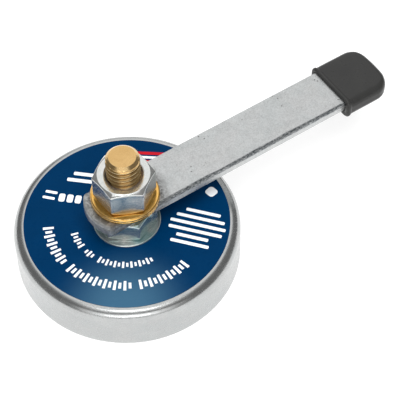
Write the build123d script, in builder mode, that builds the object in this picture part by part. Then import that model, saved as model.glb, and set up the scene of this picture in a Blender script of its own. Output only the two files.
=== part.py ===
from build123d import *
import os
from math import cos, radians, sqrt, tan

# Magnetic welding ground clamp. A steel pot magnet carries a brass contact stud through its middle. A flat
# release lever is clamped on the stud between a lower nut on a thin washer and a terminal nut with its thick
# brass washer.
#
# Frame: millimetres, origin at the centre of the contact face that sits on the work, +Z up the stud's axis,
# +X along the lever towards its grip cap.

# Driving dimensions ------------------------------------------------------------------------------------------

# Pot: a cup that is open downwards
POT_R = 40.0
POT_H = 17.0
POT_TOP_T = 4.0
POT_WALL_T = 3.0
POT_EDGE_R = 3.6
POT_RIM_CHAMFER = 0.4

# Ferrite ring and what holds it
MAGNET_R = 35.6
MAGNET_BORE_R = 14.0
MAGNET_RECESS = 0.3
MAGNET_CHAMFER = 0.5
RESIN_RECESS = 0.8
BUSH_RECESS = 0.6

# Printed label
LABEL_R = 36.3
LABEL_T = 0.2

# Brass stud with its contact head
HEAD_R = 11.0
HEAD_CHAMFER = 0.6
THREAD_R = 5.9
THREAD_GROOVE_W = 1.8
THREAD_GROOVE_DEPTH = 1.15
STUD_TOP_Z = 53.0
STUD_TIP_R = 4.7
STUD_TIP_H = 1.2

# Holes that pass the stud, and the running fit of both nuts on it
PASS_HOLE_R = 6.5
LABEL_HOLE_R = 6.8
NUT_BORE_R = THREAD_R + 0.06

# Washers: a thin one on the label, a thick one under the terminal nut
WASHER_R = 12.0
BASE_WASHER_T = 1.0
BASE_WASHER_CHAMFER = 0.2
BRASS_WASHER_T = 2.5
BRASS_WASHER_CHAMFER = 0.35

# Hexagon nuts
NUT_FLATS = 19.0
NUT_FACE_R = 9.05
NUT_CHAMFER_ANGLE = 30.0
NUT_MOUTH_R = 6.75
LOCK_NUT_H = 8.5
LOCK_NUT_TURN = 22.3
TERMINAL_NUT_H = 10.8
TERMINAL_NUT_TURN = 34.2

# Lever bar
LEVER_W = 18.0
LEVER_T = 4.0
LEVER_END_R = 14.5
LEVER_CORNER_R = 1.6
LEVER_TIP_X = 105.5
LEVER_TIP_CORNER_R = 4.0
LEVER_EDGE_R = 0.8

# Grip cap
CAP_MOUTH_X = 88.0
CAP_END_X = 108.8
CAP_END_BOW = 1.2
CAP_W = 22.4
CAP_T = 7.8
CAP_DROP = 0.8
CAP_CORNER_R = 6.0
CAP_EDGE_R = 2.8
LIP_L = 1.6
LIP_STEP = 0.25
LIP_EDGE_R = 0.8

# Heights of the stack on the stud, from the contact face up
CAVITY_H = POT_H - POT_TOP_T
LABEL_TOP_Z = POT_H + LABEL_T
LOCK_NUT_Z = LABEL_TOP_Z + BASE_WASHER_T
LEVER_Z = LOCK_NUT_Z + LOCK_NUT_H
BRASS_WASHER_Z = LEVER_Z + LEVER_T
TERMINAL_NUT_Z = BRASS_WASHER_Z + BRASS_WASHER_T
FREE_END_Z = TERMINAL_NUT_Z + TERMINAL_NUT_H
LEVER_MID_Z = LEVER_Z + LEVER_T / 2
CAP_MID_Z = LEVER_MID_Z - CAP_DROP


def write_part(piece, name):
    """Label one finished piece and write it as its own STEP file."""
    piece.part.label = name
    export_step(piece.part, f"parts/{name}.step")


def ring(base_z, height, outer_r, inner_r, edge_chamfer):
    """A flat ring on the stud's axis, with both outer edges broken."""
    with BuildPart() as body:
        with BuildSketch(Plane.XY.offset(base_z)):
            Circle(outer_r)
            Circle(inner_r, mode=Mode.SUBTRACT)
        extrude(amount=height)
        if edge_chamfer:
            rims = body.edges().filter_by(GeomType.CIRCLE).group_by(SortBy.RADIUS)[-1]
            chamfer(rims, edge_chamfer)
    return body


def hex_nut(base_z, height, turn):
    """A hexagon nut whose corners are turned off by a 30 degree cone at both ends."""
    corner_r = NUT_FLATS / 2 / cos(radians(NUT_CHAMFER_ANGLE))
    corner_drop = (corner_r - NUT_FACE_R) * tan(radians(NUT_CHAMFER_ANGLE))
    mouth_depth = NUT_MOUTH_R - NUT_BORE_R
    with BuildPart() as nut:
        with BuildSketch(Plane.XY.offset(base_z)):
            RegularPolygon(NUT_FLATS / 2, 6, major_radius=False, rotation=turn)
            Circle(NUT_BORE_R, mode=Mode.SUBTRACT)
        extrude(amount=height)
        with BuildSketch(Plane.XZ):
            with BuildLine():
                Polyline(
                    (0, base_z),
                    (NUT_FACE_R, base_z),
                    (corner_r, base_z + corner_drop),
                    (corner_r, base_z + height - corner_drop),
                    (NUT_FACE_R, base_z + height),
                    (0, base_z + height),
                    close=True,
                )
            make_face()
        revolve(axis=Axis.Z, mode=Mode.INTERSECT)
        bore_rims = nut.edges().filter_by(GeomType.CIRCLE).group_by(SortBy.RADIUS)[0]
        chamfer(bore_rims, mouth_depth)
    return nut


os.makedirs("parts", exist_ok=True)

# Pot magnet --------------------------------------------------------------------------------------------------

with BuildPart() as pot_shell:
    with BuildSketch():
        Circle(POT_R)
    extrude(amount=POT_H)
    with BuildSketch():
        Circle(POT_R - POT_WALL_T)
    extrude(amount=CAVITY_H, mode=Mode.SUBTRACT)
    with BuildSketch(Plane.XY.offset(CAVITY_H)):
        Circle(PASS_HOLE_R)
    extrude(amount=POT_TOP_T, mode=Mode.SUBTRACT)
    round_edges = pot_shell.edges().filter_by(GeomType.CIRCLE)
    fillet(round_edges.group_by(Axis.Z)[-1].sort_by(SortBy.RADIUS)[-1], POT_EDGE_R)
    round_edges = pot_shell.edges().filter_by(GeomType.CIRCLE)
    chamfer(round_edges.group_by(Axis.Z)[0], POT_RIM_CHAMFER)

ring_magnet = ring(MAGNET_RECESS, CAVITY_H - MAGNET_RECESS, MAGNET_R, MAGNET_BORE_R, MAGNET_CHAMFER)
resin_ring = ring(RESIN_RECESS, CAVITY_H - RESIN_RECESS, POT_R - POT_WALL_T, MAGNET_R, 0)
centre_bush = ring(BUSH_RECESS, CAVITY_H - BUSH_RECESS, MAGNET_BORE_R, HEAD_R, 0)
label_disc = ring(POT_H, LABEL_T, LABEL_R, LABEL_HOLE_R, 0)

# Stud: the head fills the bush and bears against the inside of the pot, the shank is threaded to its tip.
# The shank is plain at the thread's outside size but for one groove, where the end above the top nut begins.
with BuildPart() as contact_stud:
    with BuildSketch(Plane.XZ):
        with BuildLine():
            Polyline(
                (0, 0),
                (HEAD_R - HEAD_CHAMFER, 0),
                (HEAD_R, HEAD_CHAMFER),
                (HEAD_R, CAVITY_H),
                (THREAD_R, CAVITY_H),
                (THREAD_R, FREE_END_Z - THREAD_GROOVE_W),
                (THREAD_R - THREAD_GROOVE_DEPTH, FREE_END_Z - THREAD_GROOVE_W / 2),
                (THREAD_R, FREE_END_Z),
                (THREAD_R, STUD_TOP_Z - STUD_TIP_H),
                (STUD_TIP_R, STUD_TOP_Z),
                (0, STUD_TOP_Z),
                close=True,
            )
        make_face()
    revolve(axis=Axis.Z)

# Washers and nuts --------------------------------------------------------------------------------------------

base_washer = ring(LABEL_TOP_Z, BASE_WASHER_T, WASHER_R, PASS_HOLE_R, BASE_WASHER_CHAMFER)
brass_washer = ring(BRASS_WASHER_Z, BRASS_WASHER_T, WASHER_R, PASS_HOLE_R, BRASS_WASHER_CHAMFER)
lock_nut = hex_nut(LOCK_NUT_Z, LOCK_NUT_H, LOCK_NUT_TURN)
terminal_nut = hex_nut(TERMINAL_NUT_Z, TERMINAL_NUT_H, TERMINAL_NUT_TURN)

# Lever bar: its short end is an arc about the stud, its far end is squared with round corners
half_w = LEVER_W / 2
arc_meets_side_x = -sqrt(LEVER_END_R**2 - half_w**2)
with BuildPart() as lever_bar:
    with BuildSketch(Plane.XY.offset(LEVER_Z)):
        with BuildLine():
            Polyline(
                (arc_meets_side_x, half_w),
                (LEVER_TIP_X, half_w),
                (LEVER_TIP_X, -half_w),
                (arc_meets_side_x, -half_w),
            )
            ThreePointArc((arc_meets_side_x, -half_w), (-LEVER_END_R, 0), (arc_meets_side_x, half_w))
        bar_face = make_face()
        fillet(bar_face.vertices().group_by(Axis.X)[0], LEVER_CORNER_R)
        fillet(bar_face.vertices().group_by(Axis.X)[-1], LEVER_TIP_CORNER_R)
        Circle(PASS_HOLE_R, mode=Mode.SUBTRACT)
    extrude(amount=LEVER_T)
    fillet(lever_bar.faces().sort_by(Axis.Z)[-1].outer_wire().edges(), LEVER_EDGE_R)

# Grip cap: a closed-ended soft sleeve pushed over the bar, with a thicker lip round its mouth. It hangs a little
# low, so the wall under the bar is thicker than the wall over it.
with BuildPart() as lever_cap:
    with BuildSketch(Plane.XY.offset(CAP_MID_Z - CAP_T / 2)) as cap_plan:
        with BuildLine():
            Polyline(
                (CAP_END_X - CAP_END_BOW, CAP_W / 2),
                (CAP_MOUTH_X, CAP_W / 2),
                (CAP_MOUTH_X, -CAP_W / 2),
                (CAP_END_X - CAP_END_BOW, -CAP_W / 2),
            )
            ThreePointArc(
                (CAP_END_X - CAP_END_BOW, -CAP_W / 2),
                (CAP_END_X, 0),
                (CAP_END_X - CAP_END_BOW, CAP_W / 2),
            )
        make_face()
        fillet(cap_plan.vertices().group_by(Axis.X)[-1], CAP_CORNER_R)
    extrude(amount=CAP_T)
    mouth_edges = lever_cap.faces().sort_by(Axis.X)[0].edges()
    flat_faces = lever_cap.faces().filter_by(Axis.Z)
    rounded = flat_faces.edges() - mouth_edges
    fillet(rounded, CAP_EDGE_R)
    mouth_plane = Plane(origin=(CAP_MOUTH_X, 0, CAP_MID_Z), x_dir=(0, 1, 0), z_dir=(1, 0, 0))
    with BuildSketch(mouth_plane):
        RectangleRounded(CAP_W + 2 * LIP_STEP, CAP_T + 2 * LIP_STEP, CAP_EDGE_R)
    extrude(amount=LIP_L)
    lip_edges = lever_cap.faces().sort_by(Axis.X)[0].outer_wire().edges()
    fillet(lip_edges, LIP_EDGE_R)
    bar_plane = Plane(origin=(CAP_MOUTH_X, 0, LEVER_MID_Z), x_dir=(0, 1, 0), z_dir=(1, 0, 0))
    with BuildSketch(bar_plane):
        Rectangle(LEVER_W, LEVER_T)
    extrude(amount=LEVER_TIP_X - CAP_MOUTH_X, mode=Mode.SUBTRACT)

# Written pieces ----------------------------------------------------------------------------------------------

write_part(pot_shell, "pot_shell")
write_part(ring_magnet, "ring_magnet")
write_part(resin_ring, "resin_ring")
write_part(centre_bush, "centre_bush")
write_part(contact_stud, "contact_stud")
write_part(label_disc, "label_disc")
write_part(base_washer, "base_washer")
write_part(lock_nut, "lock_nut")
write_part(lever_bar, "lever_bar")
write_part(lever_cap, "lever_cap")
write_part(brass_washer, "brass_washer")
write_part(terminal_nut, "terminal_nut")
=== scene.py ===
import math

import bmesh
import bpy
from mathutils import Matrix, Vector, noise


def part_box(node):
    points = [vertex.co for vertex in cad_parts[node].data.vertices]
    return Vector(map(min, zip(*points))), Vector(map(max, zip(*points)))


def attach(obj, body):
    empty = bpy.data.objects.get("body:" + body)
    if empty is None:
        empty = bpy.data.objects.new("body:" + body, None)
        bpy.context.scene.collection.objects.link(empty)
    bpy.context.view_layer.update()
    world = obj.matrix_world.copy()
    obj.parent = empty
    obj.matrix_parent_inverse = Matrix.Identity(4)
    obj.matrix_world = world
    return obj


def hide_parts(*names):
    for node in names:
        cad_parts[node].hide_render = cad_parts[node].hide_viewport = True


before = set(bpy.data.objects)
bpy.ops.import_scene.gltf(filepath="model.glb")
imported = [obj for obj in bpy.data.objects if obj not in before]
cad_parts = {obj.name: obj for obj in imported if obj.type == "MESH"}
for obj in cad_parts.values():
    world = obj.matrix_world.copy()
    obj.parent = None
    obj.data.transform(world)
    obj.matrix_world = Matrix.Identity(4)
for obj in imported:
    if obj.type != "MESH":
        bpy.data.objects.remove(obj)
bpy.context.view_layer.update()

MM = 0.001
TAU = 2 * math.pi


# Sizes worked out from the CAD nodes, in mm --------------------------------------------------------------

def extent(node):
    low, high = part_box(node)
    return [tuple(v / MM for v in (low[i], high[i])) for i in range(3)]


def radius_of(node):
    return extent(node)[0][1]


def z_of(node):
    return extent(node)[2]


POT_R = radius_of("pot_shell")
POT_H = z_of("pot_shell")[1]
POT_WALL = POT_R - radius_of("resin_ring")
CAVITY_H = z_of("ring_magnet")[1]
MAGNET_R = radius_of("ring_magnet")
BUSH_R = radius_of("centre_bush")
LABEL_R = radius_of("label_disc")
WASHER_R = radius_of("brass_washer")
HEAD_R = radius_of("contact_stud")
LEVER_W = extent("lever_bar")[1][1] * 2
LEVER_END_R = -extent("lever_bar")[0][0]
LEVER_TIP_X = extent("lever_bar")[0][1]
CAP_X = extent("lever_cap")[0]
CAP_W = extent("lever_cap")[1][1] * 2
CAP_Z = z_of("lever_cap")

# Sizes the boxes don't give, the same as in the CAD
POT_EDGE_R = 3.6
PASS_HOLE_R = 6.5
LABEL_HOLE_R = 6.8
HEAD_CHAMFER = 0.6
THREAD_R = 5.9
STUD_TIP_R = 4.7
STUD_TIP_H = 1.2
NUT_FLATS = 19.0
NUT_FACE_R = 9.05
NUT_MOUTH_R = 6.75
NUT_BORE_R = THREAD_R + 0.06
NUT_CHAMFER = math.radians(30)
LOCK_NUT_TURN = 22.3
TERMINAL_NUT_TURN = 34.2
LEVER_TIP_CORNER_R = 4.0
LEVER_CORNER_R = 1.6
CAP_CORNER_R = 6.0
CAP_EDGE_R = 2.8
CAP_END_BOW = 1.2
LIP_L = 1.6
LIP_STEP = 0.25
LIP_EDGE_R = 0.8

# Fine shape that only the looks have
THREAD_PITCH = 2.1
THREAD_DEPTH = 1.2
THREAD_RUN_OUT = 0.9
NUT_EDGE_R = 0.45
NUT_BORE_GAP = 0.02
NUT_THREAD_DEPTH = 0.45
NUT_RUB = 0.1
LEVER_ROLL_W = 1.0
LEVER_ROLL_H = 1.1
LEVER_FLAT_MARGIN = 0.3
INK_T = 0.013

# The camera's side, which the label's print and its painted sheen face, in degrees
CAMERA_AZIMUTH = -33.7
# Place of the painted sheen on the label's front edge, in mm from the axis, and its spread, in m
PAINTED_SHEEN_R = 36.0
PAINTED_SHEEN_START, PAINTED_SHEEN_END = 0.001, 0.029

# The label's material slots for its two inks. Slot 0 is its blue ground.
WHITE, RED = 1, 2


# Mesh helpers --------------------------------------------------------------------------------------------

def finish_piece(name, bm, node, body, materials, sharp=40):
    """Turn a bmesh in mm into a piece that stands for a CAD node."""
    bmesh.ops.remove_doubles(bm, verts=bm.verts, dist=1e-4)
    bmesh.ops.recalc_face_normals(bm, faces=bm.faces)
    for v in bm.verts:
        v.co *= MM
    mesh = bpy.data.meshes.new(name)
    bm.to_mesh(mesh)
    bm.free()
    for p in mesh.polygons:
        p.use_smooth = True
    mesh.set_sharp_from_angle(angle=math.radians(sharp))
    obj = bpy.data.objects.new(name, mesh)
    bpy.context.scene.collection.objects.link(obj)
    for m in materials:
        mesh.materials.append(m)
    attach(obj, body)
    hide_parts(node)
    return obj


def wear_layer(bm):
    return bm.verts.layers.float.get("wear") or bm.verts.layers.float.new("wear")


def smooth_noise(p, scale, seed):
    return noise.noise(Vector(p) * scale + Vector((seed * 7.31, seed * 3.17, seed * 1.93)))


def lathe(bm, profile, steps=192, bump=None):
    """Revolve a closed profile of (r, z, wear). bump(x, y, z) moves each point along the radius, in mm."""
    layer = wear_layer(bm)
    rings = []
    for i in range(steps):
        a = TAU * i / steps
        ring = []
        for r, z, wear in profile:
            x, y = r * math.cos(a), r * math.sin(a)
            if bump:
                dr = bump(x, y, z)
                x, y = (r + dr) * math.cos(a), (r + dr) * math.sin(a)
            v = bm.verts.new((x, y, z))
            v[layer] = wear
            ring.append(v)
        rings.append(ring)
    count = len(profile)
    for i in range(steps):
        here, there = rings[i], rings[(i + 1) % steps]
        for j in range(count):
            k = (j + 1) % count
            bm.faces.new((here[j], there[j], there[k], here[k]))


def arc(cx, cz, r, start, end, steps, wear=0.0):
    """Points of an arc in the profile plane, angles in degrees."""
    points = []
    for i in range(steps + 1):
        a = math.radians(start + (end - start) * i / steps)
        points.append((cx + r * math.cos(a), cz + r * math.sin(a), wear))
    return points


def bevelled(points, size, steps=3):
    """Round each corner of a closed (r, z) polygon by `size` mm, or by its own third value, as a worn edge."""
    out = []
    n = len(points)
    for i in range(n):
        p = Vector(points[i][:2])
        amount = points[i][2] if len(points[i]) > 2 else size
        before = Vector(points[i - 1][:2]) - p
        after = Vector(points[(i + 1) % n][:2]) - p
        cut = min(amount, before.length * 0.45, after.length * 0.45)
        if cut < 1e-4:
            out.append((p.x, p.y, 0.0))
            continue
        a, b = p + before.normalized() * cut, p + after.normalized() * cut
        out.append((a.x, a.y, 0.15))
        for s in range(1, steps):
            t = s / steps
            q = a * (1 - t) ** 2 + p * 2 * t * (1 - t) + b * t ** 2
            out.append((q.x, q.y, 1.0))
        out.append((b.x, b.y, 0.15))
    return out


def split_long(profile, longest):
    """Add points to a profile's long straight runs, so that wear and bump have points to act on."""
    out = []
    n = len(profile)
    for i in range(n):
        a, b = profile[i], profile[(i + 1) % n]
        out.append(a)
        length = math.hypot(b[0] - a[0], b[1] - a[1])
        parts = int(length // longest)
        for s in range(1, parts + 1):
            t = s / (parts + 1)
            out.append(tuple(a[k] * (1 - t) + b[k] * t for k in range(2)) + (0.0,))
    return out


# Node helpers --------------------------------------------------------------------------------------------

class Shader:
    """A material's node tree, with one method per kind of node."""

    def __init__(self, name):
        self.material = bpy.data.materials.new(name)
        self.material.use_nodes = True
        self.tree = self.material.node_tree
        self.tree.nodes.clear()
        self.output = self.node("ShaderNodeOutputMaterial")
        self.bsdf = self.node("ShaderNodeBsdfPrincipled")
        self.link(self.bsdf.outputs[0], self.output.inputs["Surface"])
        self.coords = self.node("ShaderNodeTexCoord").outputs["Object"]

    def node(self, kind):
        return self.tree.nodes.new(kind)

    def link(self, source, target):
        self.tree.links.new(source, target)

    def put(self, target, value):
        if isinstance(value, bpy.types.NodeSocket):
            self.link(value, target)
        else:
            target.default_value = value

    def set(self, **values):
        for key, value in values.items():
            self.put(self.bsdf.inputs[key.replace("_", " ")], value)

    def stretch(self, x, y, z, rotate=0.0):
        n = self.node("ShaderNodeMapping")
        n.inputs["Scale"].default_value = (x, y, z)
        n.inputs["Rotation"].default_value = (0, 0, math.radians(rotate))
        self.link(self.coords, n.inputs["Vector"])
        return n.outputs[0]

    def noise(self, scale, detail=3.0, rough=0.5, distort=0.0, vector=None):
        n = self.node("ShaderNodeTexNoise")
        n.inputs["Scale"].default_value = scale
        n.inputs["Detail"].default_value = detail
        n.inputs["Roughness"].default_value = rough
        n.inputs["Distortion"].default_value = distort
        self.link(vector or self.coords, n.inputs["Vector"])
        return n.outputs["Fac"]

    def cells(self, scale, vector=None):
        n = self.node("ShaderNodeTexVoronoi")
        n.inputs["Scale"].default_value = scale
        self.link(vector or self.coords, n.inputs["Vector"])
        return n.outputs["Distance"]

    def span(self, value, from_low, from_high, to_low=0.0, to_high=1.0):
        n = self.node("ShaderNodeMapRange")
        self.link(value, n.inputs["Value"])
        n.inputs["From Min"].default_value = from_low
        n.inputs["From Max"].default_value = from_high
        n.inputs["To Min"].default_value = to_low
        n.inputs["To Max"].default_value = to_high
        return n.outputs[0]

    def math(self, kind, a, b=0.5):
        n = self.node("ShaderNodeMath")
        n.operation = kind
        self.put(n.inputs[0], a)
        self.put(n.inputs[1], b)
        return n.outputs[0]

    def times(self, a, b):
        return self.math("MULTIPLY", a, b)

    def plus(self, a, b):
        return self.math("ADD", a, b)

    def mix(self, fac, a, b):
        n = self.node("ShaderNodeMix")
        n.data_type = "RGBA"
        self.put(n.inputs["Factor"], fac)
        self.put(n.inputs[6], a)
        self.put(n.inputs[7], b)
        return n.outputs[2]

    def attribute(self, name):
        n = self.node("ShaderNodeAttribute")
        n.attribute_name = name
        return n.outputs["Fac"]

    def wear(self):
        return self.attribute("wear")

    def polar(self):
        """Distance from the stud's axis, angle round it and height, from object coordinates."""
        split = self.node("ShaderNodeSeparateXYZ")
        self.link(self.coords, split.inputs[0])
        x, y = split.outputs[0], split.outputs[1]
        squares = self.plus(self.times(x, x), self.times(y, y))
        return self.math("SQRT", squares), self.math("ARCTAN2", y, x), split.outputs[2]

    def combine(self, x, y, z):
        n = self.node("ShaderNodeCombineXYZ")
        for socket, value in zip(n.inputs, (x, y, z)):
            self.put(socket, value)
        return n.outputs[0]

    def bump(self, height, distance, strength=1.0, normal=None):
        n = self.node("ShaderNodeBump")
        n.inputs["Strength"].default_value = strength
        n.inputs["Distance"].default_value = distance
        self.link(height, n.inputs["Height"])
        if normal:
            self.link(normal, n.inputs["Normal"])
        return n.outputs[0]


def grey(v, tint=(1.0, 1.0, 1.0)):
    return (v * tint[0], v * tint[1], v * tint[2], 1.0)


def zinc(name, light, dark, tints, rough, speckle, grain, tint_share=0.3, pits=0.0, drawn=None,
         edge_shade_and_marks=False, bumpy=0.25, rubbed=0.55, metal=1.0):
    """Bright zinc plate: cloudy grey, a faint passivation tint, rubbed edges, scratches and a fine grain."""
    s = Shader(name)
    cloud = s.span(s.noise(140, 4, 0.55, 0.4), 0.35, 0.65)
    colour = s.mix(cloud, light, dark)
    hue = s.span(s.noise(75, 3, 0.6, 1.2), 0.4, 0.62)
    colour = s.mix(hue, colour, s.mix(tint_share, colour, tints[0]))
    hue = s.span(s.noise(52, 2, 0.5, 2.0, s.stretch(1, 1.6, 1.2, 40)), 0.5, 0.66)
    colour = s.mix(hue, colour, s.mix(tint_share, colour, tints[1]))
    fine = s.noise(grain, 2, 0.6)
    specks = s.times(s.span(fine, 0.3, 0.62, 1.0, 0.0), speckle)
    colour = s.mix(specks, colour, ZINC_SPECK)
    rub = s.times(s.wear(), s.span(s.noise(520, 3, 0.6), 0.36, 0.56))
    colour = s.mix(s.times(rub, rubbed), colour, ZINC_RUBBED)
    scratches = zinc_scratches(s)
    roughness = s.span(s.noise(330, 4, 0.6), 0.3, 0.7, rough[0], rough[1])
    roughness = s.plus(roughness, s.times(scratches, 0.12))
    roughness = s.math("SUBTRACT", roughness, s.times(rub, 0.1))
    normal = s.bump(fine, 0.00005, 0.55 * bumpy)
    normal = s.bump(s.noise(700, 3, 0.5), 0.00012, 0.3 * bumpy, normal)
    normal = s.bump(s.times(scratches, -1.0), 0.00003, 0.5, normal)
    # On the lever: painted shade along the near rolled edge, a darker mottled patch round the stud, and chips
    if edge_shade_and_marks:
        colour, roughness, normal = edge_shade_and_stud_marks(s, colour, roughness, normal)
    if drawn:
        normal = s.bump(s.noise(1.0, 3, 0.6, 0.0, s.stretch(*drawn)), 0.00008, 0.35, normal)
    if pits:
        hole = s.times(s.span(s.cells(520), 0.09, 0.16, 1.0, 0.0), s.span(s.noise(95, 2), 0.56, 0.6))
        colour = s.mix(s.times(hole, pits), colour, ZINC_PIT)
        normal = s.bump(s.times(hole, -1.0), 0.0001, 0.6, normal)
    s.set(Base_Color=colour, Metallic=metal, Roughness=roughness, Normal=normal)
    return s.material


def zinc_scratches(s):
    """Two sets of hair scratches that cross, each only in patches."""
    hairs = s.noise(1.0, 2, 0.5, 0.0, s.stretch(260, 5200, 900, 32))
    mask = s.times(s.span(hairs, 0.66, 0.74), s.span(s.noise(110, 2), 0.46, 0.6))
    hairs = s.noise(1.0, 2, 0.5, 0.0, s.stretch(4600, 300, 700, -18))
    return s.math("MAXIMUM", mask, s.times(s.span(hairs, 0.68, 0.76), s.span(s.noise(90, 2), 0.5, 0.62)))


def edge_shade_and_stud_marks(s, colour, roughness, normal):
    """Painted shade: a dark streaked band on the lever's near rolled edge, toward the camera. Also a darker
    mottled patch round the stud, and chips near it.
    """
    # Painted shade band, streaked, on the near rolled edge that the mesh marks
    streaks = s.noise(2300, 3, 0.7, 0.4, s.stretch(0.45, 1, 1))
    edge_shade_streaks = s.times(s.attribute("near_edge_shade"), s.span(streaks, 0.3, 0.6, 0.1, 1.0))
    colour = s.mix(edge_shade_streaks, colour, ZINC_EDGE_SHADE)
    # A darker mottled patch on the lever, fading out between 12.5 and 16.5 mm from the stud
    from_stud = s.polar()[0]
    near_stud = s.span(from_stud, 0.0125, 0.0165, 1.0, 0.0)
    patch = s.times(near_stud, s.span(s.noise(430, 4, 0.7, 0.8), 0.4, 0.56, 0.25, 0.95))
    colour = s.mix(patch, colour, ZINC_STUD_PATCH)
    roughness = s.plus(roughness, s.times(patch, 0.15))
    chips = s.times(s.span(s.cells(760), 0.14, 0.24, 1.0, 0.0), s.span(s.noise(260, 2), 0.5, 0.58))
    chips = s.times(chips, s.span(from_stud, 0.0145, 0.0175, 0.85, 0.0))
    colour = s.mix(chips, colour, ZINC_CHIP)
    roughness = s.plus(roughness, s.times(edge_shade_streaks, 0.22))
    normal = s.bump(s.noise(1100, 4, 0.7, 0.0, s.stretch(0.5, 1, 1)), 0.0003, 0.5, normal)
    return colour, roughness, normal


def brass(name, light, dark, rough, ring_scale, ring_strength, tarnish, paint_root_shade=False):
    """Turned brass: rings from the lathe on flat faces, warm tarnish clouds, brighter rubbed edges, and on a
    thread painted shade in the roots.
    """
    s = Shader(name)
    r, angle, z = s.polar()
    cloud = s.span(s.noise(210, 4, 0.6, 0.6), 0.34, 0.66)
    colour = s.mix(cloud, light, dark)
    stain = s.times(s.span(s.noise(330, 5, 0.65, 1.0), 0.52, 0.7), tarnish)
    colour = s.mix(stain, colour, BRASS_STAIN)
    rub = s.times(s.wear(), s.span(s.noise(700, 3, 0.6), 0.35, 0.55))
    colour = s.mix(s.times(rub, 0.7), colour, BRASS_RUBBED)
    # Painted shade: darker brown down in the thread roots, by how deep each point sits
    if paint_root_shade:
        colour = s.mix(s.times(s.span(s.attribute("root"), 0.3, 1.0), 0.8), colour, BRASS_ROOT_SHADE)
    rings = s.combine(s.times(r, ring_scale), s.times(angle, 0.6), s.times(z, ring_scale))
    turned = s.noise(1.0, 2, 0.55, 0.0, rings)
    roughness = s.span(s.noise(420, 4, 0.6), 0.3, 0.7, rough[0], rough[1])
    roughness = s.plus(roughness, s.span(turned, 0.3, 0.7, -0.03, 0.05))
    normal = s.bump(turned, 0.00006, ring_strength)
    normal = s.bump(s.noise(2600, 3, 0.6), 0.00004, 0.12, normal)
    normal = s.bump(s.noise(600, 2, 0.5), 0.0001, 0.07, normal)
    s.set(Base_Color=colour, Metallic=1.0, Roughness=roughness, Normal=normal)
    return s.material


def painted_label_sheen(s, colour, pale):
    """A painted sheen: a pale patch at the label's front edge, on the camera's side, standing in for a
    highlight.
    """
    place = s.node("ShaderNodeVectorMath")
    place.operation = "DISTANCE"
    s.link(s.coords, place.inputs[0])
    turn = math.radians(CAMERA_AZIMUTH)
    height = POT_H * MM
    place.inputs[1].default_value = (math.sin(turn) * PAINTED_SHEEN_R * MM, -math.cos(turn) * PAINTED_SHEEN_R * MM, height)
    near = s.node("ShaderNodeMapRange")
    near.interpolation_type = "SMOOTHERSTEP"
    s.link(place.outputs["Value"], near.inputs["Value"])
    for key, v in (("From Min", PAINTED_SHEEN_START), ("From Max", PAINTED_SHEEN_END), ("To Min", 1.0), ("To Max", 0.0)):
        near.inputs[key].default_value = v
    return s.mix(near.outputs[0], colour, pale)


def dull(name, light, dark, fleck, rough, scale, bumps, spec=0.5, edge_colour=None, marks=None, fade=None):
    """Plastic, resin, ferrite and ink: no metal, clouded colour, flecks, uneven sheen and a fine grain; given
    fade, a painted sheen patch.
    """
    s = Shader(name)
    colour = s.mix(s.span(s.noise(scale, 4, 0.6, 0.5), 0.34, 0.66), light, dark)
    flecks = s.span(s.noise(scale * 14, 3, 0.65), 0.6, 0.72)
    colour = s.mix(s.times(flecks, 0.35), colour, fleck)
    # fade paints a pale sheen patch into the colour: a painted highlight
    if fade:
        colour = painted_label_sheen(s, colour, fade)
    if edge_colour:
        rub = s.times(s.wear(), s.span(s.noise(480, 3, 0.6), 0.34, 0.6))
        colour = s.mix(s.times(rub, 0.6), colour, edge_colour)
    roughness = s.span(s.noise(scale * 3, 4, 0.6), 0.3, 0.7, rough[0], rough[1])
    normal = s.bump(s.noise(scale * 20, 3, 0.6), bumps[0], 0.5)
    normal = s.bump(s.noise(scale * 4, 3, 0.5), bumps[1], 0.35, normal)
    if marks:
        streaks = s.noise(1.0, 2, 0.5, 0.0, s.stretch(*marks))
        roughness = s.plus(roughness, s.span(streaks, 0.35, 0.65, -0.05, 0.06))
        normal = s.bump(streaks, bumps[0], 0.5, normal)
    s.set(Base_Color=colour, Roughness=roughness, Normal=normal)
    s.bsdf.inputs["Specular IOR Level"].default_value = spec
    return s.material


ZINC_TEAL = (0.52, 0.62, 0.63, 1.0)
ZINC_DEEP_TEAL = (0.26, 0.52, 0.53, 1.0)
ZINC_ROSE = (0.70, 0.67, 0.64, 1.0)
ZINC_RUBBED = grey(0.88)
ZINC_SPECK = grey(0.16, (1.0, 0.97, 0.93))
ZINC_PIT = grey(0.09, (1.0, 0.9, 0.8))
# Colour of the painted shade band on the lever's near edge
ZINC_EDGE_SHADE = grey(0.11, (0.9, 1.02, 1.1))
# Colour of the darker patch round the stud on the lever
ZINC_STUD_PATCH = grey(0.17, (1.0, 1.0, 0.97))
ZINC_CHIP = grey(0.05, (1.0, 0.92, 0.84))
BRASS_STAIN = (0.30, 0.135, 0.03, 1.0)
BRASS_RUBBED = (0.95, 0.78, 0.46, 1.0)
# Colour of the painted shade in the stud's thread roots
BRASS_ROOT_SHADE = (0.11, 0.05, 0.012, 1.0)

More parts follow.
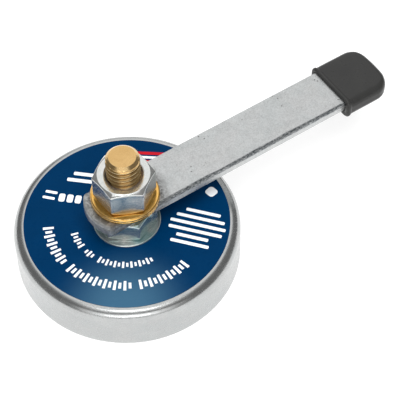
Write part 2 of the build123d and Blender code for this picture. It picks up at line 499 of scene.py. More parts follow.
POT_ZINC = zinc("pot_zinc", grey(0.475, (0.985, 1.0, 0.995)), grey(0.46, (0.975, 1.0, 1.0)),
                (ZINC_TEAL, ZINC_ROSE), (0.24, 0.30), speckle=0.04, grain=2600, tint_share=0.06, bumpy=0.12,
                rubbed=0.2)
NUT_ZINC = zinc("nut_zinc", grey(0.70, (1.0, 0.99, 0.96)), grey(0.60, (0.98, 1.0, 0.97)),
                (ZINC_TEAL, ZINC_ROSE), (0.15, 0.25), speckle=0.1, grain=2400, bumpy=0.09, rubbed=0.4,
                metal=0.93)
BASE_ZINC = zinc("base_zinc", grey(0.68, (0.92, 1.0, 0.97)), grey(0.54, (0.82, 1.0, 0.99)),
                 (ZINC_DEEP_TEAL, ZINC_ROSE), (0.14, 0.24), speckle=0.1, grain=2400, tint_share=0.6,
                 bumpy=0.12, metal=0.85)
LEVER_ZINC = zinc("lever_zinc", grey(0.60, (0.985, 1.0, 1.0)), grey(0.565, (0.98, 1.0, 1.0)),
                  (ZINC_TEAL, ZINC_ROSE), (0.32, 0.44), speckle=0.3, grain=2300, tint_share=0.12, pits=0.8,
                  drawn=(260, 1500, 400, 0), edge_shade_and_marks=True, bumpy=0.55, rubbed=0.4, metal=0.9)
STUD_BRASS = brass("stud_brass", (0.66, 0.435, 0.185, 1.0), (0.60, 0.385, 0.155, 1.0), (0.15, 0.22),
                   ring_scale=5200, ring_strength=0.22, tarnish=0.08, paint_root_shade=True)
WASHER_BRASS = brass("washer_brass", (0.80, 0.46, 0.115, 1.0), (0.74, 0.40, 0.085, 1.0), (0.16, 0.24),
                     ring_scale=2600, ring_strength=0.06, tarnish=0.08)
# The blue ground carries a painted sheen: a pale patch at its front edge, on the camera's side
LABEL_BLUE = dull("label_blue", (0.0, 0.0255, 0.084, 1.0), (0.0, 0.0235, 0.077, 1.0),
                  (0.001, 0.029, 0.092, 1.0), (0.26, 0.31), 160, (0.000003, 0.000008), spec=0.02,
                  fade=(0.040, 0.110, 0.185, 1.0))
LABEL_WHITE = dull("label_white", (0.86, 0.87, 0.88, 1.0), (0.78, 0.80, 0.82, 1.0),
                   (0.5, 0.56, 0.64, 1.0), (0.28, 0.4), 240, (0.000012, 0.00004), spec=0.1)
LABEL_RED = dull("label_red", (0.50, 0.006, 0.016, 1.0), (0.44, 0.005, 0.013, 1.0),
                 (0.5, 0.03, 0.03, 1.0), (0.28, 0.4), 240, (0.000012, 0.00004), spec=0.1)
CAP_PVC = dull("cap_pvc", (0.030, 0.030, 0.029, 1.0), (0.026, 0.026, 0.0255, 1.0),
               (0.04, 0.04, 0.04, 1.0), (0.26, 0.34), 120, (0.00001, 0.00006), spec=0.2,
               edge_colour=(0.04, 0.04, 0.04, 1.0))
FERRITE = dull("ferrite", (0.030, 0.031, 0.034, 1.0), (0.052, 0.052, 0.056, 1.0),
               (0.13, 0.12, 0.12, 1.0), (0.5, 0.72), 150, (0.00008, 0.0001), spec=0.4,
               edge_colour=(0.12, 0.115, 0.11, 1.0), marks=(300, 4200, 300, 25))
RESIN = dull("resin", (0.012, 0.012, 0.013, 1.0), (0.02, 0.02, 0.021, 1.0), (0.05, 0.05, 0.05, 1.0),
             (0.18, 0.4), 260, (0.00003, 0.0003))
BUSH_PLASTIC = dull("bush_plastic", (0.62, 0.60, 0.54, 1.0), (0.54, 0.51, 0.45, 1.0),
                    (0.36, 0.33, 0.28, 1.0), (0.36, 0.52), 200, (0.00004, 0.0001),
                    edge_colour=(0.74, 0.72, 0.68, 1.0))


# Pot and what fills it -----------------------------------------------------------------------------------

def pot_shell():
    inner = POT_R - POT_WALL
    top_arc = arc(POT_R - POT_EDGE_R, POT_H - POT_EDGE_R, POT_EDGE_R, 0, 90, 14, 0.25)
    profile = bevelled([(inner, 0, 0.25), (POT_R, 0, 0.45), (POT_R, POT_H - POT_EDGE_R, 0)], 0.3)[:-1]
    profile += top_arc
    profile += bevelled([(PASS_HOLE_R, POT_H), (PASS_HOLE_R, CAVITY_H), (inner, CAVITY_H, 1.0)], 0.25)
    profile = split_long(profile, 1.6)

    def drawn_wall(x, y, z):
        """A deep-drawn wall isn't quite round or flat."""
        if math.hypot(x, y) < POT_R - 1.2:
            return 0.0
        waves = 0.05 * smooth_noise((x, y, z * 2.5), 0.06, 1)
        return -0.05 + waves - 0.02 * abs(smooth_noise((x, y, z), 0.4, 2))

    bm = bmesh.new()
    lathe(bm, profile, 256, drawn_wall)
    return finish_piece("pot_body", bm, "pot_shell", "magnet_base", [POT_ZINC])


def square_ring(inner, outer, z0, z1, edge, longest, steps):
    """A ring of rectangular section with rounded edges."""
    bm = bmesh.new()
    corners = [(inner, z0), (outer, z0), (outer, z1), (inner, z1)]
    lathe(bm, split_long(bevelled(corners, edge), longest), steps)
    return bm


def pot_filling():
    """What fills the pot: the magnet, the resin round it and the bush inside it."""
    bm = square_ring(BUSH_R, MAGNET_R, *z_of("ring_magnet"), 0.5, 2.5, 192)
    finish_piece("magnet_ring", bm, "ring_magnet", "magnet_base", [FERRITE])

    z0, z1 = z_of("resin_ring")
    wall = POT_R - POT_WALL
    sag = [(MAGNET_R, z0 + 0.02, 0.0)]
    for i in range(1, 6):
        t = i / 6
        sag.append((MAGNET_R + (wall - MAGNET_R) * t, z0 + 0.45 * math.sin(math.pi * t), 0.0))
    sag.append((wall, z0, 0.0))
    bm = bmesh.new()
    lathe(bm, split_long(sag + [(wall, z1, 0.0), (MAGNET_R, z1, 0.0)], 2.5), 192)
    finish_piece("resin_fill", bm, "resin_ring", "magnet_base", [RESIN])

    bm = square_ring(HEAD_R, BUSH_R, *z_of("centre_bush"), 0.3, 2.0, 160)
    finish_piece("bush", bm, "centre_bush", "magnet_base", [BUSH_PLASTIC])


# Printed label: plain ticks, bars and blocks in place of the print ---------------------------------------

def blank_label():
    """The blue disc, a little below the ink's top."""
    z0, z1 = z_of("label_disc")
    bm = bmesh.new()
    edge = LABEL_R - 0.1
    profile = [(LABEL_HOLE_R, z0, 0), (LABEL_R, z0, 0), (LABEL_R, z1 - 0.05, 0.2),
               (LABEL_R - 0.04, z1 - 0.015, 0.4)]
    count = 14
    for i in range(count + 1):
        profile.append((edge - (edge - LABEL_HOLE_R) * i / count, z1 - 0.012, 0))
    lathe(bm, profile, 192)
    return bm


def ink_shape(bm, outline, ink):
    z = z_of("label_disc")[1]
    top = [bm.verts.new((x, y, z)) for x, y in outline]
    low = [bm.verts.new((x, y, z - INK_T)) for x, y in outline]
    n = len(outline)
    faces = [bm.faces.new(top)]
    for i in range(n):
        faces.append(bm.faces.new((top[i], low[i], low[(i + 1) % n], top[(i + 1) % n])))
    for f in faces:
        f.material_index = ink


def ink_sector(bm, r0, r1, start, end):
    steps = max(2, int(abs(end - start) / 2))
    forth = [math.radians(start + (end - start) * i / steps) for i in range(steps + 1)]
    back = [math.radians(end - (end - start) * i / steps) for i in range(steps + 1)]
    outline = [(r1 * math.cos(a), r1 * math.sin(a)) for a in forth]
    outline += [(r0 * math.cos(a), r0 * math.sin(a)) for a in back]
    ink_shape(bm, outline, WHITE)


def ink_bar(bm, x, y, width, height, turn, ink):
    """A plain bar with round corners, centred on x, y."""
    r = min(width, height) * 0.3
    c, s = math.cos(math.radians(turn)), math.sin(math.radians(turn))
    outline = []
    for sx, sy, start in ((1, 1, 0), (-1, 1, 90), (-1, -1, 180), (1, -1, 270)):
        for i in range(4):
            a = math.radians(start + 30 * i)
            px = sx * (width / 2 - r) + r * math.cos(a)
            py = sy * (height / 2 - r) + r * math.sin(a)
            outline.append((x + px * c - py * s, y + px * s + py * c))
    ink_shape(bm, outline, ink)


def ticks(bm, r, height, start, end, step, width, groups):
    """A row of plain upright ticks round an arc, tall and short by turns, with a gap after each group."""
    a, n = start, 0
    sizes = iter(groups)
    left = next(sizes)
    while a < end:
        tall = height if n % 2 == 0 else height * 0.62
        half = math.degrees(width / 2 / r)
        ink_sector(bm, r - tall / 2, r + tall / 2, a - half, a + half)
        n += 1
        left -= 1
        a += step
        if left == 0:
            a += step * 1.1
            left = next(sizes, 99)


def label():
    """Plain marks stand where the print is. Their places are across and up the label, seen from the front."""
    bm = blank_label()
    ticks(bm, 27.6, 3.8, 153, 284, 3.6, 0.95, (10, 14, 16))
    ticks(bm, 19.0, 2.6, 164, 265, 4.3, 0.75, (5, 3, 14))
    c, s = math.cos(math.radians(CAMERA_AZIMUTH)), math.sin(math.radians(CAMERA_AZIMUTH))

    def put(u, v, width, height, tilt, ink=WHITE):
        ink_bar(bm, u * c - v * s, u * s + v * c, width, height, CAMERA_AZIMUTH + tilt, ink)

    for row, width in enumerate((12.5, 17.4, 20.0, 19.2, 11.5, 13.8)):
        put(26.9 - 1.0 * row, 3.0 - 2.64 * row, width, 1.3, -16)
    for u, v, width in ((-15.7, 20.5, 7.7), (-17.1, 17.7, 9.5)):
        put(u, v, width, 1.5, -9)
    for u, v, width in ((-27.1, 12.7, 4.3), (-28.0, 10.2, 4.4)):
        put(u, v, width, 1.1, -13)
    for k in range(3):
        put(-23.3 + 2.9 * k, 10.2 - 0.46 * k, 2.2, 3.5, -9)
    for v, width, height, ink in ((29.9, 10.8, 1.3, RED), (28.0, 9.4, 1.1, WHITE), (26.1, 10.8, 1.3, RED)):
        put(8.3, v, width, height, -4, ink)
    put(29.8, 12.2, 3.8, 3.8, 45)
    return finish_piece("label_print", bm, "label_disc", "magnet_base",
                        [LABEL_BLUE, LABEL_WHITE, LABEL_RED])


# Stud, washers and nuts ----------------------------------------------------------------------------------

def thread_turn():
    """One pitch of a 60 degree thread with a flat crest and root, as (share of the pitch, depth share)."""
    return ((0.0, 1.0), (0.05, 1.0), (0.09, 0.95), (0.16, 0.76), (0.24, 0.54), (0.32, 0.32), (0.4, 0.1),
            (0.44, 0.02), (0.5, 0.0), (0.56, 0.02), (0.6, 0.1), (0.68, 0.32), (0.76, 0.54), (0.84, 0.76),
            (0.91, 0.95), (0.95, 1.0))


def stud():
    """The foot and the end face are lathed. Between them the rows follow the thread's helix."""
    z0, z1 = z_of("contact_stud")
    bm = bmesh.new()
    layer = wear_layer(bm)
    root = bm.verts.layers.float.new("root")
    steps = 160
    plain_top = z_of("lever_bar")[0]

    def ring_of(r, z, wear):
        ring = []
        for i in range(steps):
            a = TAU * i / steps
            v = bm.verts.new((r * math.cos(a), r * math.sin(a), z))
            v[layer] = wear
            ring.append(v)
        return ring

    def join(low, high):
        for i in range(steps):
            j = (i + 1) % steps
            bm.faces.new((low[i], low[j], high[j], high[i]))

    foot = bevelled([(0.4, z0, 0), (HEAD_R - HEAD_CHAMFER, z0, 0.15), (HEAD_R, z0 + HEAD_CHAMFER, 0.15),
                     (HEAD_R, CAVITY_H, 0.2), (THREAD_R, CAVITY_H, 0.1), (THREAD_R, plain_top, 0)], 0.2)
    rings = [ring_of(*point) for point in foot]
    for low, high in zip(rings, rings[1:]):
        join(low, high)
    bm.faces.new(list(reversed(rings[0])))

    turn = thread_turn()
    per_turn = len(turn)
    first = math.floor(plain_top / THREAD_PITCH) - 1
    last = math.ceil(z1 / THREAD_PITCH) + 1
    count = (last - first) * per_turn
    columns = []
    for i in range(steps):
        a = TAU * i / steps
        column = []
        for k in range(count):
            share, depth = turn[k % per_turn]
            z = THREAD_PITCH * (first + k // per_turn + share + a / TAU)
            fade = min(1.0, max(0.0, (z1 - THREAD_RUN_OUT - z) / (THREAD_PITCH * 0.6)))
            r = THREAD_R - THREAD_DEPTH * depth * fade
            wear = 0.7 * max(0.0, 1 - 5 * depth)
            tip = STUD_TIP_R + max(0.0, z1 - z) * (THREAD_R - STUD_TIP_R) / STUD_TIP_H
            if r > tip:
                r, wear = tip, 0.3
            if z <= plain_top:
                z, r, wear = plain_top, THREAD_R, 0.0
            if z >= z1:
                z, r, wear = z1, STUD_TIP_R, 0.5
            v = bm.verts.new((r * math.cos(a), r * math.sin(a), z))
            v[layer] = wear
            # How deep the point sits in the thread, for the painted shade in the roots
            v[root] = min(1.0, (THREAD_R - r) / THREAD_DEPTH) * fade if z < z1 - STUD_TIP_H else 0.0
            column.append(v)
        columns.append(column)
    for i in range(steps):
        here = columns[i]
        there = columns[(i + 1) % steps]
        shift = per_turn if i == steps - 1 else 0
        for k in range(count - 1):
            m = k + shift
            if m + 1 < count:
                bm.faces.new((here[k], there[m], there[m + 1], here[k + 1]))

    end = [ring_of(STUD_TIP_R, z1, 0.5)]
    for share, drop in ((0.985, 0.0), (0.9, 0.0), (0.8, 0.004), (0.6, 0.0), (0.4, 0.004), (0.2, 0.0),
                        (0.06, 0.004)):
        end.append(ring_of(STUD_TIP_R * share, z1 - drop, 0.0))
    for low, high in zip(end, end[1:]):
        join(low, high)
    bm.faces.new(end[-1])
    bmesh.ops.remove_doubles(bm, verts=bm.verts, dist=1e-3)
    return finish_piece("stud", bm, "contact_stud", "magnet_base", [STUD_BRASS], 30)


def washer(name, node, body, material, edge, groove=0.0):
    """A flat washer with chamfered edges and, if asked, a fine groove round its rim."""
    z0, z1 = z_of(node)
    bm = bmesh.new()
    mid = (z0 + z1) / 2
    outline = [(PASS_HOLE_R, z0, 0.1), (WASHER_R - edge, z0, 0.06), (WASHER_R, z0 + edge, 0.08)]
    if groove:
        outline += [(WASHER_R, mid - groove, 0.06), (WASHER_R - groove, mid, 0.08),
                    (WASHER_R, mid + groove, 0.06)]
    outline += [(WASHER_R, z1 - edge, 0.08), (WASHER_R - edge, z1, 0.08), (PASS_HOLE_R, z1, 0.1)]
    lathe(bm, split_long(bevelled(outline, 0.1), 1.2), 192)
    return finish_piece(name, bm, node, body, [material], 50)


def toward(a):
    return Vector((math.cos(a), math.sin(a)))


def hex_outline(flats, corner_r):
    """Points round a hexagon with rounded corners, as (point, wear), first corner at angle 0."""
    points = []
    sixth, half_sixth = math.radians(60), math.radians(30)
    reach = (flats / 2 - corner_r) / math.cos(half_sixth)
    side_steps = 16
    for k in range(6):
        here, there = sixth * k, sixth * (k + 1)
        centre = toward(here) * reach
        for i in range(5):
            a = here + math.radians(-30 + 15 * i)
            points.append((centre + toward(a) * corner_r, 1.0 if 0 < i < 4 else 0.3))
        last = centre + toward(here + half_sixth) * corner_r
        first = toward(there) * reach + toward(there - half_sixth) * corner_r
        for i in range(1, side_steps):
            t = i / side_steps
            points.append((last * (1 - t) + first * t, 0.0))
    return points


def nut_end(reach, wear, z, side):
    """One end of a nut's section, from the bore out to the side: thread mouth, face, chamfer, rubbed edge."""
    slope = math.tan(NUT_CHAMFER)
    drop = max(0.0, (reach - NUT_FACE_R) * slope)
    inset = 0.16
    cone = max(reach - inset, NUT_FACE_R + 0.1)
    bore = NUT_BORE_R + NUT_BORE_GAP
    return [
        (bore, z - side * 1.6, 0.0),
        (bore, z - side * 0.86, 0.2),
        (NUT_MOUTH_R - 0.07, z - side * 0.07, 0.3),
        (NUT_MOUTH_R + 0.07, z, 0.8),
        ((NUT_MOUTH_R + NUT_FACE_R) / 2, z, 0.0),
        (NUT_FACE_R - 0.12, z, 0.2),
        (NUT_FACE_R + 0.08, z - side * 0.02, 0.9),
        (cone, z - side * max(0.03, drop - inset * slope), 0.25),
        (reach - 0.03, z - side * (drop + NUT_RUB * 0.5), 0.95),
        (reach, z - side * (drop + NUT_RUB * 2), max(0.2, wear)),
    ]


def nut(name, node, body, turn, material):
    """A hexagon nut, both ends chamfered, built from one closed section for each point round the hexagon."""
    z0, z1 = z_of(node)
    bm = bmesh.new()
    layer = wear_layer(bm)
    side_steps, bore_steps = 6, 10
    columns = []
    for point, wear in hex_outline(NUT_FLATS, NUT_EDGE_R):
        reach = point.length
        a = math.atan2(point.y, point.x) + math.radians(turn)
        high = nut_end(reach, wear, z1, 1)
        low = nut_end(reach, wear, z0, -1)
        section = list(high)
        for i in range(1, side_steps):
            t = i / side_steps
            section.append((reach, high[-1][1] * (1 - t) + low[-1][1] * t, wear))
        section += reversed(low)
        for i in range(1, bore_steps):
            t = i / bore_steps
            section.append((NUT_BORE_R + NUT_BORE_GAP + NUT_THREAD_DEPTH * (i % 2),
                            low[0][1] * (1 - t) + high[0][1] * t, 0.0))
        column = []
        for r, z, rubbed in section:
            v = bm.verts.new((r * math.cos(a), r * math.sin(a), z))
            v[layer] = rubbed
            column.append(v)
        columns.append(column)
    n = len(columns)
    for i in range(n):
        here, there = columns[i], columns[(i + 1) % n]
        for j in range(len(here)):
            k = (j + 1) % len(here)
            bm.faces.new((here[j], there[j], there[k], here[k]))
    return finish_piece(name, bm, node, body, [material], 38)


# Lever and its cap ---------------------------------------------------------------------------------------

def lever_outline():
    """Points and outward normals round the lever, in order, from the stud end's arc."""
    points = []

    def turn_about(x, y, r, start, end, first, last, steps):
        for i in range(first, last):
            n = toward(start + (end - start) * i / steps)
            points.append((Vector((x, y)) + n * r, n))

    def run(x0, x1, y, side, steps=44):
        for i in range(1, steps):
            points.append((Vector((x0 + (x1 - x0) * i / steps, y)), Vector((0, side))))

    half = LEVER_W / 2
    corner, tip = LEVER_CORNER_R, LEVER_TIP_CORNER_R
    inner_r = LEVER_END_R - corner
    blend = math.pi - math.asin((half - corner) / inner_r)
    cx, cy = inner_r * math.cos(blend), inner_r * math.sin(blend)
    tip_x = LEVER_TIP_X - tip
    right = math.radians(90)
    turn_about(0, 0, LEVER_END_R, blend, TAU - blend, 0, 65, 64)
    turn_about(cx, -cy, corner, TAU - blend, 3 * right, 1, 9, 8)
    run(cx, tip_x, -half, -1)
    turn_about(tip_x, -half + tip, tip, -right, 0, 0, 9, 8)
    turn_about(tip_x, half - tip, tip, 0, right, 0, 9, 8)
    run(tip_x, cx, half, 1)
    turn_about(cx, cy, corner, right, blend, 0, 8, 8)
    return points


def lever_section(z0, z1):
    """The bar's edge from its flat top, round the rolled upper edge, to its flat bottom: (inset, z, wear)."""
    section = [(LEVER_ROLL_W + LEVER_FLAT_MARGIN, z1, 0.0)]
    for i in range(7):
        t = i / 6
        a = t * math.pi / 2
        section.append((LEVER_ROLL_W * (1 - math.sin(a)), z1 - LEVER_ROLL_H * (1 - math.cos(a)), 0.25 * t))
    section += [(0.0, z1 - 1.6, 0.0), (0.0, z1 - 2.3, 0.0), (0.05, z0 + 0.9, 0.0), (0.06, z0 + 0.3, 0.4),
                (0.14, z0 + 0.08, 1.0), (0.36, z0, 0.5), (0.7, z0, 0.0)]
    return section


def lever():
    """The flat bar, its upper edge rolled unevenly: widest on the near side, where the shears cut it. That
    near edge is marked for a band of painted shade.
    """
    z0, z1 = z_of("lever_bar")
    outline = lever_outline()
    bm = bmesh.new()
    layer = wear_layer(bm)
    near_edge_shade = bm.verts.layers.float.new("near_edge_shade")
    rings = []
    for inset, z, wear in lever_section(z0, z1):
        ring = []
        for p, n in outline:
            uneven = 1 + 0.35 * smooth_noise((p.x, p.y, 0), 0.12, 3)
            side = 0.62 - 0.38 * n.y
            q = p - n * inset * (uneven * side if z > z0 + 2 else 1.0)
            dip = 0.0
            if wear <= 0.25 and inset < LEVER_ROLL_W and z > z0 + 1:
                dip = 0.05 * abs(smooth_noise((p.x, p.y, z), 0.5, 4))
            v = bm.verts.new((q.x, q.y, z - dip))
            v[layer] = wear
            # Marks the rolled edge on the near side, facing -Y toward the camera, for the painted shade band
            v[near_edge_shade] = max(0.0, -n.y) if inset < LEVER_ROLL_W * 0.8 and z > z1 - 1.2 else 0.0
            ring.append(v)
        rings.append(ring)
    n = len(outline)
    for high, low in zip(rings, rings[1:]):
        for i in range(n):
            j = (i + 1) % n
            bm.faces.new((high[i], high[j], low[j], low[i]))
    hole_steps = 72
    hole = []
    hole_profile = [(0.85, z1, 0.0), (0.55, z1, 0.1), (0.2, z1 - 0.08, 0.8), (0.0, z1 - 0.4, 0.3),
                    (0.0, z0 + 0.25, 0.2), (0.15, z0, 0.8), (0.5, z0, 0.0)]
    for widen, z, wear in hole_profile:
        r = PASS_HOLE_R + widen
        ring = []
        for i in range(hole_steps):
            a = TAU * i / hole_steps
            v = bm.verts.new((r * math.cos(a), r * math.sin(a), z))
            v[layer] = wear
            ring.append(v)
        hole.append(ring)
    for high, low in zip(hole, hole[1:]):
        for i in range(hole_steps):
            j = (i + 1) % hole_steps
            bm.faces.new((high[i], low[i], low[j], high[j]))
    for outer, inner in ((rings[0], hole[0]), (rings[-1], hole[-1])):
        edges = []
        for loop in (outer, inner):
            for i in range(len(loop)):
                pair = (loop[i], loop[(i + 1) % len(loop)])
                edges.append(bm.edges.get(pair) or bm.edges.new(pair))
        bmesh.ops.triangle_fill(bm, use_beauty=True, use_dissolve=False, edges=edges)
    return finish_piece("lever", bm, "lever_bar", "release_lever", [LEVER_ZINC], 42)


def cap_pocket(mouth):
    """Stations (x, half width, half thickness, corner radius, wear) of the pocket round the bar."""
    z0, z1 = z_of("lever_bar")
    half_w, half_t = LEVER_W / 2 + 0.12, (z1 - z0) / 2 + 0.1
    return [(mouth + 2.6, half_w, half_t, 0.5, 0.0), (mouth + 0.9, half_w, half_t, 0.5, 0.0),
            (mouth + 0.25, half_w + 0.12, half_t + 0.12, 0.6, 0.2),
            (mouth + 0.04, half_w + 0.35, half_t + 0.35, 0.8, 0.6)]


def cap_outside(mouth, end, lip_w, lip_t, body_start):
    """Stations, as for the pocket, from the lip at the mouth to the rounded end."""
    half_w, half_t = lip_w - LIP_STEP, lip_t - LIP_STEP
    core_w, core_t = lip_w - LIP_EDGE_R, lip_t - LIP_EDGE_R
    stations = [(mouth, core_w, core_t, 1.6, 0.4)]
    for i in range(1, 7):
        a = math.radians(90 * i / 6)
        out = LIP_EDGE_R * math.sin(a)
        stations.append((mouth + LIP_EDGE_R - LIP_EDGE_R * math.cos(a), core_w + out, core_t + out, 2.6, 0.5))
    stations.append((mouth + LIP_L - 0.5, lip_w, lip_t, 2.6, 0.5))
    for i in range(1, 6):
        t = i / 5
        step = LIP_STEP * t * t * (3 - 2 * t)
        stations.append((mouth + LIP_L - 0.4 + 0.6 * t, lip_w - step, lip_t - step, 2.7, 0.1))
    for i in range(9):
        x = body_start + (end - CAP_CORNER_R - body_start) * i / 8
        stations.append((x, half_w, half_t, CAP_EDGE_R, 0.0))
    steps = 22
    for i in range(1, steps + 1):
        a = math.radians(90 * i / steps)
        x = end - CAP_CORNER_R + CAP_CORNER_R * math.sin(a)
        w = half_w - CAP_CORNER_R + CAP_CORNER_R * math.cos(a)
        over = x - (end - CAP_EDGE_R)
        t = half_t
        if over > 0:
            t += math.sqrt(max(0.0, CAP_EDGE_R ** 2 - over ** 2)) - CAP_EDGE_R
        stations.append((x, w, t, min(CAP_EDGE_R, t, w), 0.3 if over > 0 else 0.0))
    stations.append((end, stations[-1][1] * 0.6, stations[-1][2] * 0.55, 0.5, 0.2))
    return stations


def rounded_rectangle(w, t, r):
    """Points round a rectangle of half sizes w and t, corner by corner, with points along each side."""
    r = min(r, w - 0.02, t - 0.02)
    points = []
    corners = ((1, 1), (-1, 1), (-1, -1), (1, -1))
    for k, (sx, sz) in enumerate(corners):
        start = 90 * k
        for i in range(9):
            a = math.radians(start + 90 * i / 8)
            points.append((sx * (w - r) + r * math.cos(a), sz * (t - r) + r * math.sin(a)))
        nx, nz = corners[(k + 1) % 4]
        a = math.radians(start + 90)
        here = (sx * (w - r) + r * math.cos(a), sz * (t - r) + r * math.sin(a))
        there = (nx * (w - r) + r * math.cos(a), nz * (t - r) + r * math.sin(a))
        for i in range(1, 8):
            k2 = i / 8
            points.append((here[0] * (1 - k2) + there[0] * k2, here[1] * (1 - k2) + there[1] * k2))
    return points


def cap():
    """A rounded rectangle swept along X. At the mouth it turns in to a pocket round the bar."""
    mouth, end = CAP_X
    lip_w, lip_t = CAP_W / 2, (CAP_Z[1] - CAP_Z[0]) / 2
    half_w = lip_w - LIP_STEP
    body_start = mouth + LIP_L + 0.6
    bar_mid_z, cap_mid_z = sum(z_of("lever_bar")) / 2, sum(CAP_Z) / 2
    stations = [(bar_mid_z,) + station for station in cap_pocket(mouth)]
    stations += [(cap_mid_z,) + station for station in cap_outside(mouth, end, lip_w, lip_t, body_start)]
    bm = bmesh.new()
    layer = wear_layer(bm)
    rings = []
    for mid_z, x, w, t, r, wear in stations:
        ring = []
        along = max(0.0, (x - body_start) / (end - body_start))
        for y, z in rounded_rectangle(w, t, r):
            soft = 0.006 * (1 + smooth_noise((x, y, z), 0.16, 5))
            shrink = 1 - soft - 0.004 * abs(smooth_noise((x, y, z), 0.5, 6))
            bow = CAP_END_BOW * (y / half_w) ** 2 * along ** 2
            v = bm.verts.new((x - bow, y * shrink, mid_z + z * shrink))
            v[layer] = wear
            ring.append(v)
        rings.append(ring)
    n = len(rings[0])
    for a, b in zip(rings, rings[1:]):
        for i in range(n):
            j = (i + 1) % n
            bm.faces.new((a[i], a[j], b[j], b[i]))
    bm.faces.new(rings[-1])
    bm.faces.new(list(reversed(rings[0])))
    return finish_piece("cap", bm, "lever_cap", "release_lever", [CAP_PVC], 60)


pot_shell()
pot_filling()
label()
stud()
washer("washer_zinc", "base_washer", "magnet_base", BASE_ZINC, edge=0.2)
washer("washer_brass", "brass_washer", "washer_lift", WASHER_BRASS, edge=0.4, groove=0.12)
nut("nut_lower", "lock_nut", "magnet_base", LOCK_NUT_TURN, BASE_ZINC)
nut("nut_upper", "terminal_nut", "top_nut", TERMINAL_NUT_TURN, NUT_ZINC)
lever()
cap()


# Studio --------------------------------------------------------------------------------------------------

# The panel's brightness by the angle from the back, over the top, to the front, in degrees
PANEL_STOPS = ((0, 0.6), (14, 0.8), (28, 1.15), (75, 1.2), (114, 1.3), (122, 0.25), (134, 0.22), (141, 1.4),
               (168, 1.4), (176, 0.3))
PANEL_EDGE = (0.22, 0.42)
FRONT_PANEL_WIDER = 1.8
FRONT_PANEL_FROM, FRONT_PANEL_FULL = math.radians(118), math.radians(138)
TENT_WALL = 0.22
FLOOR_HALF = 3.0
FLOOR_DROP = 0.0002
FLOOR_GLOW = 0.72
CAMERA_ELEVATION = 53.09
CAMERA_ROLL = 0.51
CAMERA_LENS = 135
ORIGIN_SEEN = Vector((-0.02555, -0.01740, -0.54020))


def studio_floor():
    """A white floor that glows a little, so that shadows on it stay faint."""
    s = Shader("studio_floor")
    s.set(Base_Color=s.mix(s.span(s.noise(6, 2), 0.3, 0.7), grey(0.36), grey(0.35)), Roughness=0.75)
    s.bsdf.inputs["Emission Color"].default_value = grey(1.0)
    s.bsdf.inputs["Emission Strength"].default_value = FLOOR_GLOW
    mesh = bpy.data.meshes.new("floor")
    d = FLOOR_HALF
    mesh.from_pydata([(-d, -d, 0), (d, -d, 0), (d, d, 0), (-d, d, 0)], [], [(0, 1, 2, 3)])
    mesh.materials.append(s.material)
    obj = bpy.data.objects.new("floor", mesh)
    obj.location.z = -FLOOR_DROP
    bpy.context.scene.collection.objects.link(obj)


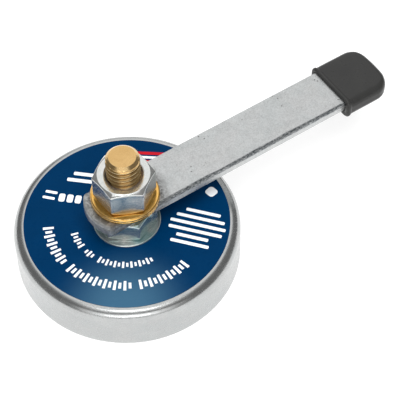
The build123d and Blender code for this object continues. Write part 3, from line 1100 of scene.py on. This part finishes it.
def studio_sky():
    """A tent with a long bright panel from behind the object over its top, and a low one in front."""
    world = bpy.data.worlds.new("studio")
    bpy.context.scene.world = world
    world.use_nodes = True
    tree = world.node_tree
    tree.nodes.clear()

    def node(kind, operation=None, *inputs):
        n = tree.nodes.new(kind)
        if operation:
            n.operation = operation
        for socket, value in zip(n.inputs, inputs):
            if isinstance(value, bpy.types.NodeSocket):
                tree.links.new(value, socket)
            else:
                socket.default_value = value
        return n

    coords = node("ShaderNodeTexCoord").outputs["Generated"]
    turned = node("ShaderNodeMapping", None, coords)
    turned.inputs["Rotation"].default_value = (0, 0, math.radians(-CAMERA_AZIMUTH))
    split = node("ShaderNodeSeparateXYZ", None, turned.outputs[0])
    across, back, up = split.outputs
    angle = node("ShaderNodeMath", "ARCTAN2", up, back).outputs[0]
    share = node("ShaderNodeMath", "DIVIDE", angle, math.pi).outputs[0]
    panel = tree.nodes.new("ShaderNodeValToRGB")
    tree.links.new(share, panel.inputs[0])
    ramp = panel.color_ramp
    ramp.elements[0].position, ramp.elements[0].color = PANEL_STOPS[0][0] / 180, grey(PANEL_STOPS[0][1])
    ramp.elements[1].position, ramp.elements[1].color = PANEL_STOPS[-1][0] / 180, grey(PANEL_STOPS[-1][1])
    for degrees, value in PANEL_STOPS[1:-1]:
        ramp.elements.new(degrees / 180).color = grey(value)
    wider = tree.nodes.new("ShaderNodeMapRange")
    tree.links.new(angle, wider.inputs["Value"])
    for key, v in (("From Min", FRONT_PANEL_FROM), ("From Max", FRONT_PANEL_FULL), ("To Min", 1.0),
                   ("To Max", FRONT_PANEL_WIDER)):
        wider.inputs[key].default_value = v
    aside = node("ShaderNodeMath", "ABSOLUTE", across).outputs[0]
    aside = node("ShaderNodeMath", "DIVIDE", aside, wider.outputs[0]).outputs[0]
    edge = tree.nodes.new("ShaderNodeMapRange")
    edge.interpolation_type = "SMOOTHSTEP"
    tree.links.new(aside, edge.inputs["Value"])
    for key, v in zip(("From Min", "From Max", "To Min", "To Max"), PANEL_EDGE + (1.0, 0.0)):
        edge.inputs[key].default_value = v
    mix = tree.nodes.new("ShaderNodeMix")
    mix.data_type = "RGBA"
    tree.links.new(edge.outputs[0], mix.inputs["Factor"])
    mix.inputs[6].default_value = grey(TENT_WALL)
    tree.links.new(panel.outputs[0], mix.inputs[7])
    background = node("ShaderNodeBackground", None, mix.outputs[2], 1.0)
    out = tree.nodes.new("ShaderNodeOutputWorld")
    tree.links.new(background.outputs[0], out.inputs["Surface"])


def softbox(name, azimuth, elevation, distance, size, power, mirrored=True, aim=(0.02, 0, 0.02)):
    """An area light by the compass: azimuth 0 is the camera's side, turning to the right."""
    a, e = math.radians(CAMERA_AZIMUTH + azimuth - 90), math.radians(elevation)
    light = bpy.data.lights.new(name, "AREA")
    light.shape = "RECTANGLE"
    light.size, light.size_y = size
    light.energy = power
    obj = bpy.data.objects.new(name, light)
    place = Vector((math.cos(a) * math.cos(e), math.sin(a) * math.cos(e), math.sin(e))) * distance
    obj.location = place
    obj.rotation_euler = (place - Vector(aim)).to_track_quat("Z", "Y").to_euler()
    obj.visible_glossy = mirrored
    bpy.context.scene.collection.objects.link(obj)


def camera():
    data = bpy.data.cameras.new("camera")
    data.lens = CAMERA_LENS
    data.sensor_width = 36
    obj = bpy.data.objects.new("camera", data)
    turn = (Matrix.Rotation(math.radians(CAMERA_AZIMUTH), 4, "Z")
            @ Matrix.Rotation(math.radians(90 - CAMERA_ELEVATION), 4, "X")
            @ Matrix.Rotation(math.radians(-CAMERA_ROLL), 4, "Z"))
    obj.matrix_world = Matrix.Translation(-(turn @ ORIGIN_SEEN)) @ turn
    bpy.context.scene.collection.objects.link(obj)
    bpy.context.scene.camera = obj


studio_floor()
studio_sky()
camera()
softbox("front", 0, 22, 1.3, (0.8, 0.2), 1.6)
softbox("top", 0, 82, 1.6, (0.5, 0.25), 2.0)
softbox("fill", 0, 72, 1.6, (1.2, 1.2), 26, mirrored=False)
bpy.context.scene.view_settings.view_transform = "Standard"
